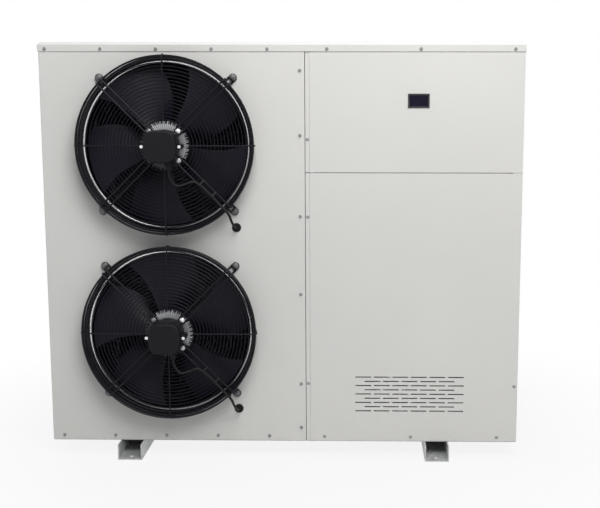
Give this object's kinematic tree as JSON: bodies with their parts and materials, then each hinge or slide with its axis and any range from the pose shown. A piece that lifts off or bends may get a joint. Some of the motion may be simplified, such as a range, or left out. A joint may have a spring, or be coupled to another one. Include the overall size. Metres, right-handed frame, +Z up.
{
  "type": "refrigeration condensing unit",
  "caption": "Air-cooled condensing unit in a sheet-metal cabinet on foot rails, with axial fans behind round wire guards on the front.",
  "frame": {"origin": "centre of the four anchor holes in the foot rails, on the floor plane", "axes": "+X to the viewer's right along the cabinet's width, -Y out of the front with the fans, +Z up"},
  "size_m": [1.2534, 0.6329, 1.1],
  "materials": {
    "panel_paint": "fine textured powder coat, satin",
    "galvanised": "galvanised sheet with faint spangle",
    "guard_black": "black powder coat, semi-gloss",
    "motor_aluminium": "die-cast, matt",
    "rotor_black": "black paint",
    "box_plastic": "moulded, fine grain",
    "bezel_plastic": "moulded, satin",
    "display_window": "polished dark window",
    "impeller_black": "black, satin",
    "cable_black": "extruded sheath",
    "rubber": "moulded",
    "screw_steel": "zinc plated",
    "fin_aluminium": "bare fin stock",
    "copper": "drawn copper tube",
    "valve_brass": "forged and machined",
    "compressor_paint": "black enamel",
    "terminal_plastic": "moulded"
  },
  "bodies": {
    "cabinet": {"foot_rail_left": "galvanised", "foot_rail_right": "galvanised", "base_pan": "galvanised", "rail_bolts": "screw_steel", "top_cover": "panel_paint", "fan_panel": "panel_paint", "control_panel": "panel_paint", "service_panel": "panel_paint", "side_panel_right": "panel_paint", "rear_panel": "panel_paint", "corner_post": "panel_paint", "partition": "galvanised", "condenser_fins": "fin_aluminium", "tube_sheets": "galvanised", "return_bends": "copper", "display_bezel": "bezel_plastic", "display_lens": "display_window", "control_box": "galvanised", "contactors": "terminal_plastic", "terminal_strip": "terminal_plastic", "capacitors": "motor_aluminium", "compressor": "compressor_paint", "compressor_mounts": "rubber", "compressor_terminal_cover": "bezel_plastic", "liquid_receiver": "compressor_paint", "suction_accumulator": "compressor_paint", "filter_drier": "compressor_paint", "gas_header": "copper", "liquid_header": "copper", "discharge_pipe": "copper", "condensate_pipe": "copper", "liquid_pipes": "copper", "suction_pipes": "copper", "suction_valve": "valve_brass", "liquid_valve": "valve_brass", "power_entry": "bezel_plastic", "terminal_box_screws": "screw_steel", "upper_fan_guard": "guard_black", "upper_venturi": "guard_black", "upper_motor_stator": "motor_aluminium", "upper_terminal_box": "box_plastic", "upper_terminal_box_cover": "box_plastic", "upper_fan_cable": "cable_black", "lower_fan_guard": "guard_black", "lower_venturi": "guard_black", "lower_motor_stator": "motor_aluminium", "lower_terminal_box": "box_plastic", "lower_terminal_box_cover": "box_plastic", "lower_fan_cable": "cable_black", "guard_bolts": "screw_steel", "motor_bolts": "screw_steel", "motor_bearings": "screw_steel", "cable_glands": "box_plastic", "cable_grommets": "rubber"},
    "upper_fan": {"upper_motor_rotor": "rotor_black", "upper_impeller": "impeller_black"},
    "lower_fan": {"lower_motor_rotor": "rotor_black", "lower_impeller": "impeller_black"}
  },
  "joints": [
    {"name": "upper_fan_spin", "type": "hinge", "parent": "cabinet", "child": "upper_fan", "pos_m": [-0.297, -0.23, 0.837], "axis": [0, 1, 0], "continuous": true},
    {"name": "lower_fan_spin", "type": "hinge", "parent": "cabinet", "child": "lower_fan", "pos_m": [-0.297, -0.23, 0.3475], "axis": [0, 1, 0], "continuous": true}
  ]
}
